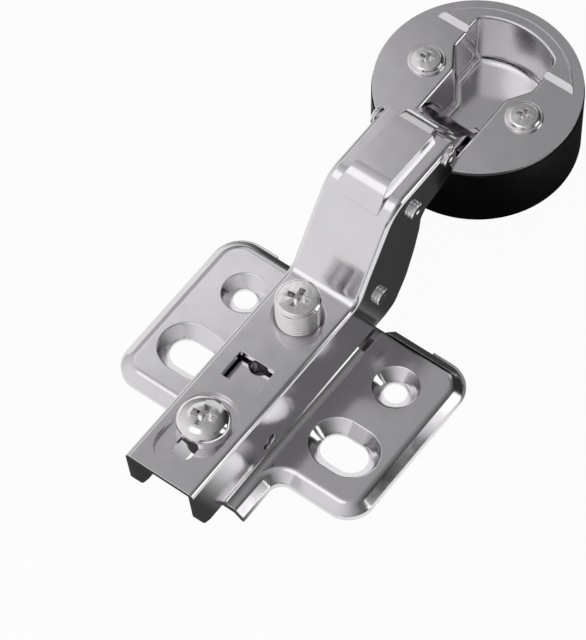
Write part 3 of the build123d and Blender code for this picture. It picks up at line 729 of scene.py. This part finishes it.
@dataclass(frozen=True)
class FixingScrew(PointedScrew):
    """Pan-head screw that clamps the arm to the plate."""

    thread: Thread = Thread(crest_mm=2.0, pitch_mm=0.7, depth_mm=0.28, foot_mm=9.2, top_mm=16.2)
    recess: CrossRecess = CrossRecess(arm_width_mm=1.4, span_mm=6.0, depth_mm=1.7)
    foot_mm: float = 8.7
    top_mm: float = 20.6
    rounding_mm: float = 0.05
    waist_foot_mm: float = 15.7
    waist_radius_mm: float = 1.75
    head_foot_mm: float = 16.8
    seat_radius_mm: float = 4.3
    widest_mm: float = 18.8
    head_radius_mm: float = 4.6
    flat_radius_mm: float = 1.6
    dome_steps: int = 9

    def outline(self) -> Pairs:
        """Draws the foot, the shank, the waist and the domed head.

        Returns:
            Radius and height pairs.
        """
        reach = self.head_radius_mm - self.flat_radius_mm
        rise = self.top_mm - self.widest_mm
        angles = (math.radians(90 * step / self.dome_steps) for step in range(self.dome_steps + 1))
        dome = (
            (self.flat_radius_mm + reach * math.cos(angle), self.widest_mm + rise * math.sin(angle))
            for angle in angles
        )
        return (
            *self.point(), (self.root_mm(), self.waist_foot_mm),
            (self.waist_radius_mm, self.waist_foot_mm), (self.waist_radius_mm, self.head_foot_mm),
            (self.seat_radius_mm, self.head_foot_mm), *dome, (0, self.top_mm),
        )

    def build(self) -> None:
        """Makes the screw."""
        self.make("fixing_screw", "fixing_screw", turn_deg=12)


@dataclass(frozen=True)
class CupScrews(PointedScrew):
    """Two flanged screws that hold the cup's plate to its body. The flange is
    given by inset from the head's radius and height above its seat."""

    thread: Thread = Thread(crest_mm=1.6, pitch_mm=0.6, depth_mm=0.2, foot_mm=15.9, top_mm=25.4)
    recess: CrossRecess = CrossRecess(arm_width_mm=0.75, span_mm=3.6, depth_mm=1.2)
    foot_mm: float = 15.5
    top_mm: float = 26.1
    rounding_mm: float = 0.07
    edge_mm: float = 0.03
    seat_mm: float = 25.1
    head_radius_mm: float = 3.35
    flange_mm: Pairs = (
        (0.0, 0.0), (0.0, 0.3), (0.2, 0.45), (0.5, 0.42), (0.6, 0.78), (0.95, 0.96)
    )

    def outline(self) -> Pairs:
        """Draws the foot, the shank and the flanged head.

        Returns:
            Radius and height pairs.
        """
        flange = (
            (self.head_radius_mm - inset, self.seat_mm + rise) for inset, rise in self.flange_mm
        )
        return (*self.point(), (self.root_mm(), self.seat_mm), *flange, (0, self.top_mm))

    def build(self) -> None:
        """Makes both screws, their crosses turned a little apart."""
        self.make("cup_screw_left", "cup", turn_deg=4)
        self.make("cup_screw_right", "cup", turn_deg=9)


# --------------------------------------------------- pins, bushes, spacers


@dataclass(frozen=True)
class CrossPins:
    """The plain pins that lie across the cup and the inner link."""

    chamfer_mm: float = 0.25
    groove_mm: float = 0.12
    groove_inset_mm: float = 1.0
    rounding_mm: float = 0.04
    steps: int = 64

    def build(self) -> None:
        """Turns each pin with bevelled ends and a groove near each end."""
        for node, body in (
            ("cup_pin_outer", "cup"), ("cup_pin_inner", "cup"), ("follower_pin", "inner_link")
        ):
            radius, end, _ = half_mm(node)
            ring = end - self.groove_inset_mm
            side = (
                (0, end), (radius - self.chamfer_mm, end), (radius, end - self.chamfer_mm),
                (radius, ring), (radius - self.groove_mm, ring - self.groove_mm),
                (radius, ring - 2 * self.groove_mm),
            )
            outline = side + tuple((across, -along) for across, along in reversed(side))
            mesh = Turned(outline, self.rounding_mm, self.steps).mesh()
            stand(mesh, ACROSS, centre_mm(node))
            pin = new_object(node + "_turned", mesh)
            finish_edges(pin, width_mm=0.0)
            put(pin, TURNED_NICKEL, body, "nickel_screw", node)


@dataclass(frozen=True)
class Bushes:
    """Nylon spacers and bush, a steel spacer and the brass inserts."""

    rivet_hole_mm: float = 1.15
    insert_hole_mm: float = 1.65
    washer_gap_mm: float = 2.9
    bevel_mm: float = 0.2
    rounding_mm: float = 0.05
    knurl_depth_mm: float = 0.15
    knurls: int = 36

    def ring(
        self, node: str, hole_mm: float, half_length_mm: float, middle_mm: float = 0.0
    ) -> bmesh.types.BMesh:
        """Turns a bevelled ring on the Z axis, as wide as a CAD node.

        Args:
            node: The CAD node that gives the outer radius.
            hole_mm: Radius of the hole.
            half_length_mm: Half the ring's length.
            middle_mm: Height of the ring's middle.

        Returns:
            The ring's mesh.
        """
        outer, _, _ = half_mm(node)
        bevel = self.bevel_mm
        foot, top = middle_mm - half_length_mm, middle_mm + half_length_mm
        outline = (
            (hole_mm, foot + bevel), (hole_mm + bevel, foot), (outer - bevel, foot),
            (outer, foot + bevel), (outer, top - bevel), (outer - bevel, top),
            (hole_mm + bevel, top), (hole_mm, top - bevel), (hole_mm, foot + bevel),
        )
        return Turned(outline, self.rounding_mm, steps=2 * self.knurls).mesh()

    def knurl(self, mesh: bmesh.types.BMesh, radius_mm: float) -> None:
        """Sinks every second column of the rim, which leaves the ridges.

        Args:
            mesh: The ring, on the Z axis.
            radius_mm: Its outer radius.
        """
        keep = 1 - self.knurl_depth_mm / radius_mm
        for vert in mesh.verts:
            column = round(math.atan2(vert.co.y, vert.co.x) / math.tau * 2 * self.knurls)
            if column % 2 and vert.co.xy.length > (radius_mm - self.knurl_depth_mm) * MM:
                vert.co.xy *= keep

    def sleeves(self) -> None:
        """Makes the bush in the spring and the inner link's spacer."""
        for node, body, finish, slot in (
            ("spring_bush", "arm", NATURAL_NYLON, "nylon"),
            ("link_spacer", "inner_link", TURNED_NICKEL, "nickel_screw"),
        ):
            _, half, _ = half_mm(node)
            mesh = self.ring(node, self.rivet_hole_mm, half)
            stand(mesh, ACROSS, centre_mm(node))
            sleeve = new_object(node + "_turned", mesh)
            finish_edges(sleeve, width_mm=0.0)
            put(sleeve, finish, body, slot, node)

    def washers(self) -> None:
        """Makes the pair of nylon spacers beside the inner link."""
        _, end, _ = half_mm("rear_spacers")
        half = (end - self.washer_gap_mm) / 2
        pair = bmesh.new()
        for side in Side:
            middle = side.value * (end - half)
            mesh = self.ring("rear_spacers", self.rivet_hole_mm, half, middle)
            pour(new_object("washer", mesh), pair)
        stand(pair, ACROSS, centre_mm("rear_spacers"))
        washers = new_object("rear_spacers_moulded", pair)
        finish_edges(washers, width_mm=0.0)
        put(washers, NATURAL_NYLON, "arm", "nylon", "rear_spacers")

    def inserts(self) -> None:
        """Makes the pair of knurled brass inserts in the cup's body."""
        radius, reach, half = half_mm("cup_inserts")
        pair = bmesh.new()
        for side in Side:
            mesh = self.ring("cup_inserts", self.insert_hole_mm, half)
            self.knurl(mesh, radius)
            stand(mesh, UPRIGHT, Vector((0, side.value * (reach - radius), 0)))
            pour(new_object("insert", mesh), pair)
        stand(pair, UPRIGHT, centre_mm("cup_inserts"))
        inserts = new_object("cup_inserts_turned", pair)
        finish_edges(inserts, width_mm=0.0)
        put(inserts, TURNED_BRASS, "cup", "brass", "cup_inserts")

    def build(self) -> None:
        """Makes all the rings."""
        self.sleeves()
        self.washers()
        self.inserts()


# ------------------------------------- pressed, wound and moulded pieces


@dataclass(frozen=True)
class FramePiece:
    """A pressed, wound or moulded piece that keeps its solid's shape."""

    node: str
    finish: Finish
    body: str
    slot: str
    edge_mm: float = 0.06
    crease_deg: float = 32.0
    flat_deg: float = 0.1
    weld_mm: float = 0.0005

    def build(self, solid: bpy.types.Object) -> None:
        """Copies the solid, adds its detail and breaks its sharp edges.

        Args:
            solid: The node's object in the frame.
        """
        mesh = bmesh.new()
        mesh.from_mesh(solid.data)
        bmesh.ops.transform(mesh, matrix=solid.matrix_world, verts=mesh.verts)
        bmesh.ops.remove_doubles(mesh, verts=mesh.verts, dist=self.weld_mm * MM)
        bmesh.ops.dissolve_limit(
            mesh, angle_limit=math.radians(self.flat_deg), verts=mesh.verts, edges=mesh.edges,
            use_dissolve_boundaries=False, delimit={"NORMAL"},
        )
        piece = new_object(self.node + "_finished", mesh)
        self.detail(piece)
        finish_edges(piece, self.edge_mm, self.crease_deg)
        put(piece, self.finish, self.body, self.slot, self.node)

    def detail(self, piece: bpy.types.Object) -> None:
        """Cuts what the solid leaves out; most pieces need nothing.

        Args:
            piece: The piece, in place.
        """


@dataclass(frozen=True)
class CupBody(FramePiece):
    """The moulded body, with the mould's marks on its underside."""

    groove_radius_mm: float = 15.6
    groove_half_width_mm: float = 0.5
    groove_depth_mm: float = 0.35
    ejectors: int = 4
    ejector_radius_mm: float = 1.3
    ejector_reach_mm: float = 12.6
    ejector_depth_mm: float = 0.15
    rounding_mm: float = 0.05
    sides: int = 48

    def detail(self, piece: bpy.types.Object) -> None:
        """Cuts a ring groove and the ejector pins' shallow marks.

        Args:
            piece: The body, in place.
        """
        low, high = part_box(self.node)
        middle = Vector(((low.x + high.x) / 2 / MM, 0, low.z / MM))
        deep = self.groove_depth_mm
        inner = self.groove_radius_mm - self.groove_half_width_mm
        outer = self.groove_radius_mm + self.groove_half_width_mm
        outline = (
            (inner, -deep), (outer, -deep), (outer - deep, deep), (inner + deep, deep),
            (inner, -deep),
        )
        mesh = Turned(outline, self.rounding_mm).mesh()
        stand(mesh, UPRIGHT, middle)
        cutters = [new_object("groove_cutter", mesh)]
        for number in range(self.ejectors):
            turn = math.tau * (number + 0.5) / self.ejectors
            mesh = bmesh.new()
            bmesh.ops.create_cone(
                mesh, cap_ends=True, segments=self.sides, radius1=self.ejector_radius_mm * MM,
                radius2=self.ejector_radius_mm * MM, depth=2 * self.ejector_depth_mm * MM,
            )
            reach = Vector((math.cos(turn), math.sin(turn), 0)) * self.ejector_reach_mm
            stand(mesh, UPRIGHT, middle + reach)
            cutters.append(new_object("ejector_cutter", mesh))
        carve(piece, cutters)


@dataclass(frozen=True)
class SpareHole:
    """Rolled and threaded collar, closed at its foot, under the plate's spare
    hole. The flare is given by added radius and depth below the top."""

    x_mm: float = -16.5
    top_mm: float = 14.75
    foot_mm: float = 10.6
    bore_mm: float = 1.9
    wall_mm: float = 0.6
    flare_mm: Pairs = ((0.15, 0.6), (0.9, 0.0))
    rounding_mm: float = 0.1
    steps: int = 48
    thread: Thread = Thread(
        crest_mm=1.62, pitch_mm=0.6, depth_mm=-0.27, foot_mm=10.8, top_mm=15.4, steps=48
    )

    def build(self) -> None:
        """Turns the collar and winds the thread inside it."""
        floor, wide = self.foot_mm + self.wall_mm, self.bore_mm + self.wall_mm
        flare = ((wide + added, self.top_mm - down) for added, down in self.flare_mm)
        outline = (
            (self.bore_mm, self.top_mm), (self.bore_mm, floor), (0, floor), (0, self.foot_mm),
            (wide, self.foot_mm), *flare, (self.bore_mm, self.top_mm),
        )
        mesh = Turned(outline, self.rounding_mm, self.steps).mesh()
        self.thread.wind_on(mesh)
        stand(mesh, UPRIGHT, Vector((self.x_mm, 0, 0)))
        collar = new_object("spare_hole_collar", mesh)
        finish_edges(collar, width_mm=0.0)
        PRESSED_NICKEL.dress(collar)
        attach(collar, "plate")
        log.info("%s on plate: %d faces", collar.name, len(collar.data.polygons))


# ------------------------------------------------------------------- studio


@dataclass(frozen=True)
class PaintedShadowZone:
    """A rectangle of the floor that reflections see dark: painted shadow of the object on the
    floor, seen only in reflections.
    """

    middle_mm: tuple[float, float]
    half_mm: tuple[float, float]

    def reach(
        self, tree: bpy.types.NodeTree, place: bpy.types.NodeSocket
    ) -> bpy.types.NodeSocket:
        """Measures how far a point of the floor lies outside the zone.

        Args:
            tree: The floor's node tree.
            place: The point.

        Returns:
            The distance in metres, below zero inside.
        """
        middle = Vector((*self.middle_mm, 0)) * MM
        half = Vector((*self.half_mm, 0)) * MM
        return reach_beyond(tree, place, middle, half)


@dataclass(frozen=True)
class Card:
    """A card by the object that only reflections see. It fades out towards
    its rim, from a share of the way there."""

    name: str
    middle_mm: tuple[float, float, float]
    half_mm: tuple[float, float]
    level: float
    fade_from: float

    def hang(self) -> None:
        """Adds the card, facing the object."""
        mesh = bmesh.new()
        bmesh.ops.create_grid(mesh, x_segments=1, y_segments=1, size=1.0)
        wide, high = self.half_mm
        bmesh.ops.scale(mesh, vec=(wide * MM, high * MM, 1.0), verts=mesh.verts)
        card = new_object(self.name, mesh)
        middle = Vector(self.middle_mm)
        turn = middle.to_track_quat("Z", "Y").to_matrix().to_4x4()
        card.matrix_world = Matrix.Translation(middle * MM) @ turn
        material = blank_material(self.name)
        tree = material.node_tree
        place = add_node(tree, "ShaderNodeTexCoord").outputs["Generated"]
        # These coordinates run from 0 to 1, so the rim lies this far out.
        rim = 0.5
        edge = reach_beyond(tree, place, Vector((rim, rim, 0)), Vector((0, 0, 0)))
        share = add_node(
            tree, "ShaderNodeMapRange", {"Value": edge}, interpolation_type="SMOOTHSTEP",
            From_Min=rim * self.fade_from, From_Max=rim, To_Min=1.0, To_Max=0.0,
        )
        clear = add_node(tree, "ShaderNodeBsdfTransparent")
        glow = add_node(tree, "ShaderNodeEmission", Strength=self.level)
        mix = add_node(
            tree, "ShaderNodeMixShader",
            {0: share.outputs["Result"], 1: clear.outputs[0], 2: glow.outputs[0]},
        )
        add_node(tree, "ShaderNodeOutputMaterial", {"Surface": mix.outputs[0]})
        card.data.materials.append(material)
        card.visible_camera = False
        card.visible_diffuse = False
        card.visible_shadow = False
        card.visible_transmission = False


@dataclass(frozen=True)
class Softbox:
    """A soft-edged round patch of the surround, lighter or darker than it."""

    towards: tuple[float, float, float]
    half_angle_deg: float
    level: float
    edge_deg: float = 6.0

    def blend_in(
        self, tree: bpy.types.NodeTree, way: bpy.types.NodeSocket, below: bpy.types.NodeSocket
    ) -> bpy.types.NodeSocket:
        """Lays the patch over what the surround has so far.

        Args:
            tree: The world's node tree.
            way: The direction looked in.
            below: The surround without this patch.

        Returns:
            The surround with it.
        """
        along = add_node(tree, "ShaderNodeVectorMath", {0: way}, operation="DOT_PRODUCT")
        along.inputs[1].default_value = Vector(self.towards).normalized()
        share = add_node(
            tree, "ShaderNodeMapRange", {"Value": along.outputs["Value"]},
            interpolation_type="SMOOTHSTEP",
            From_Min=math.cos(math.radians(self.half_angle_deg + self.edge_deg)),
            From_Max=math.cos(math.radians(self.half_angle_deg)),
        )
        mixed = add_node(
            tree, "ShaderNodeMix", {"Factor": share.outputs["Result"], "A": below},
            data_type="RGBA",
        )
        mixed.inputs["B"].default_value = (self.level, self.level, self.level, 1.0)
        return mixed.outputs["Result"]


@dataclass(frozen=True)
class Studio:
    """Camera, pale floor with painted shadow in its reflections, and soft surround. The sky's stops
    pair a place, from 0 away from its brightest side to 1 at it, with a level."""

    target_mm: Vector = Vector((4.798, 0.0, 18.812))
    to_camera: Vector = Vector((-0.43538, -0.32277, 0.84039))
    distance_mm: float = 639.67
    roll_deg: float = -0.323
    aim_right_mm: float = -7.2
    aim_up_mm: float = -8.6
    lens_mm: float = 214.5
    sensor_mm: float = 36.0
    clip_m: tuple[float, float] = (0.01, 20.0)

    floor_size_mm: float = 4000.0
    floor_colour: str = "F8F8F8"
    floor_glow_share: float = 0.95
    # Painted shadow: zones of the floor that reflections see dark, in place of the object's own
    # shadow there.
    painted_shadow_zones: tuple[PaintedShadowZone, PaintedShadowZone] = (
        PaintedShadowZone((45.0, -4.0), (32.0, 26.0)),
        PaintedShadowZone((-52.0, 0.0), (15.0, 15.0)),
    )
    shadow_fade_mm: float = 12.0
    painted_shadow_level: float = 0.035
    pale_level: float = 0.95

    sky_towards: Vector = Vector((-0.75, 0.55, 0.35))
    sky_stops: Pairs = ((0.2, 0.03), (0.45, 0.21), (0.575, 0.35), (0.75, 0.62), (0.95, 0.82))
    softboxes: tuple[Softbox, ...] = (
        Softbox((0.45, -0.8, 0.35), 13.0, 1.6),
        Softbox((-0.85, -0.5, 0.12), 9.0, 0.08),
        Softbox((0.1, -0.75, 0.75), 10.0, 0.15),
        Softbox((-0.3, 0.2, 0.95), 12.0, 1.2),
        Softbox((0.8, 0.25, 0.5), 13.0, 0.7),
    )
    cards: tuple[Card, ...] = (
        Card("border_flag", (44.0, -130.0, 73.0), (17.0, 60.0), 0.03, fade_from=0.4),
        Card("wing_light", (106.0, 172.0, 255.0), (120.0, 70.0), 0.85, fade_from=0.4),
    )

    def place_camera(self) -> None:
        """Adds the camera and makes it the scene's."""
        forward = -self.to_camera.normalized()
        right = forward.cross(Vector((0, 0, 1))).normalized()
        up = right.cross(forward)
        roll = math.radians(self.roll_deg)
        right, up = (
            math.cos(roll) * right + math.sin(roll) * up,
            -math.sin(roll) * right + math.cos(roll) * up,
        )
        seat = self.target_mm - self.distance_mm * forward
        aim = self.target_mm + self.aim_right_mm * right + self.aim_up_mm * up
        back = (seat - aim).normalized()
        right = (right - right.dot(back) * back).normalized()
        up = back.cross(right)
        camera = bpy.data.objects.new("camera", bpy.data.cameras.new("camera"))
        camera.data.lens = self.lens_mm
        camera.data.sensor_width = self.sensor_mm
        camera.data.clip_start, camera.data.clip_end = self.clip_m
        turn = Matrix((right, up, back)).transposed().to_4x4()
        camera.matrix_world = Matrix.Translation(seat * MM) @ turn
        bpy.context.scene.collection.objects.link(camera)
        bpy.context.scene.camera = camera

    def lay_floor(self) -> None:
        """Adds the floor, white to the camera and pale to reflections, which see painted shadow
        near the object.
        """
        mesh = bmesh.new()
        size = self.floor_size_mm * MM / 2
        bmesh.ops.create_grid(mesh, x_segments=1, y_segments=1, size=size)
        floor = new_object("floor", mesh)
        material = blank_material("white_floor")
        tree = material.node_tree
        path = add_node(tree, "ShaderNodeLightPath").outputs
        seen = path["Is Camera Ray"]
        for ray in ("Is Glossy Ray", "Is Transmission Ray"):
            either = add_node(tree, "ShaderNodeMath", {0: seen, 1: path[ray]}, operation="MAXIMUM")
            seen = either.outputs[0]
        share = add_node(tree, "ShaderNodeMath", {0: seen}, operation="MULTIPLY")
        share.inputs[1].default_value = self.floor_glow_share
        paint = add_node(tree, "ShaderNodeBsdfDiffuse", Color=linear(self.floor_colour))
        level = self.floor_level(tree, path["Is Glossy Ray"])
        glow = add_node(tree, "ShaderNodeEmission", {"Color": level}, Strength=1.0)
        mix = add_node(
            tree, "ShaderNodeMixShader",
            {0: share.outputs[0], 1: paint.outputs[0], 2: glow.outputs[0]},
        )
        add_node(tree, "ShaderNodeOutputMaterial", {"Surface": mix.outputs[0]})
        floor.data.materials.append(material)

    def floor_level(
        self, tree: bpy.types.NodeTree, glossy: bpy.types.NodeSocket
    ) -> bpy.types.NodeSocket:
        """Paints the object's shadow into the floor's zones, seen in reflections only.

        Args:
            tree: The floor's node tree.
            glossy: One where a reflection sees the floor.

        Returns:
            The floor's level of grey.
        """
        place = add_node(tree, "ShaderNodeTexCoord").outputs["Object"]
        first, second = (zone.reach(tree, place) for zone in self.painted_shadow_zones)
        edge = add_node(tree, "ShaderNodeMath", {0: first, 1: second}, operation="MINIMUM")
        level = add_node(
            tree, "ShaderNodeMapRange", {"Value": edge.outputs[0]},
            interpolation_type="SMOOTHSTEP", From_Min=0.0, From_Max=self.shadow_fade_mm * MM,
            To_Min=self.painted_shadow_level, To_Max=self.pale_level,
        )
        mirror = add_node(
            tree, "ShaderNodeMix", {"Factor": glossy, "B": level.outputs["Result"]},
            data_type="FLOAT",
        )
        mirror.inputs["A"].default_value = 1.0
        return mirror.outputs["Result"]

    def light(self) -> None:
        """Adds the surround that lights everything."""
        world = bpy.data.worlds.new("studio")
        bpy.context.scene.world = world
        world.use_nodes = True
        tree = world.node_tree
        tree.nodes.clear()
        way = add_node(tree, "ShaderNodeTexCoord").outputs["Generated"]
        along = add_node(tree, "ShaderNodeVectorMath", {0: way}, operation="DOT_PRODUCT")
        along.inputs[1].default_value = self.sky_towards.normalized()
        place = add_node(
            tree, "ShaderNodeMapRange", {"Value": along.outputs["Value"]},
            From_Min=-1.0, From_Max=1.0,
        )
        ramp = add_node(tree, "ShaderNodeValToRGB", {"Fac": place.outputs["Result"]})
        elements = ramp.color_ramp.elements
        while len(elements) < len(self.sky_stops):
            elements.new(position=0.5)
        for element, (position, level) in zip(elements, self.sky_stops):
            element.position = position
            element.color = (level, level, level, 1.0)
        colour = ramp.outputs["Color"]
        for box in self.softboxes:
            colour = box.blend_in(tree, way, colour)
        sky = add_node(tree, "ShaderNodeBackground", {"Color": colour}, Strength=1.0)
        add_node(tree, "ShaderNodeOutputWorld", {"Surface": sky.outputs[0]})

    def build(self) -> None:
        """Sets up the camera, the floor, the surround and the cards."""
        self.place_camera()
        self.lay_floor()
        self.light()
        for card in self.cards:
            card.hang()
        bpy.context.scene.view_settings.view_transform = "Standard"


# --------------------------------------------------------------------- main

FRAME_PIECES = (
    FramePiece("mounting_plate", PRESSED_NICKEL, "plate", "nickel_sheet"),
    FramePiece("hinge_arm", PRESSED_NICKEL, "arm", "nickel_sheet"),
    FramePiece("front_rivet", TURNED_NICKEL, "arm", "nickel_screw", edge_mm=0.04),
    FramePiece("rear_rivet", TURNED_NICKEL, "arm", "nickel_screw", edge_mm=0.04),
    FramePiece("spring_rivet", TURNED_NICKEL, "arm", "nickel_screw", edge_mm=0.04),
    FramePiece("closing_spring", SPRING_STEEL, "arm", "spring_steel", edge_mm=0.05),
    CupBody("cup_body", BLACK_PLASTIC, "cup", "black_plastic", edge_mm=0.08),
    FramePiece("outer_link", PRESSED_NICKEL, "outer_link", "nickel_sheet"),
    FramePiece("inner_link", PRESSED_NICKEL, "inner_link", "nickel_sheet"),
)


def main() -> None:
    """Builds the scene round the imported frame."""
    logging.basicConfig(level=logging.INFO, format="%(name)s: %(message)s")
    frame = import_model()
    # The cup's plate stays the frame's own solid, so it only needs a finish.
    PRESSED_NICKEL.dress(frame["nodes"]["cup_plate"])
    for piece in FRAME_PIECES:
        piece.build(frame["nodes"][piece.node])
    for assembly in (
        SpareHole(), AdjustingScrew(), FixingScrew(), CupScrews(), CrossPins(), Bushes()
    ):
        assembly.build()
    Studio().build()


if __name__ == "__main__":
    main()
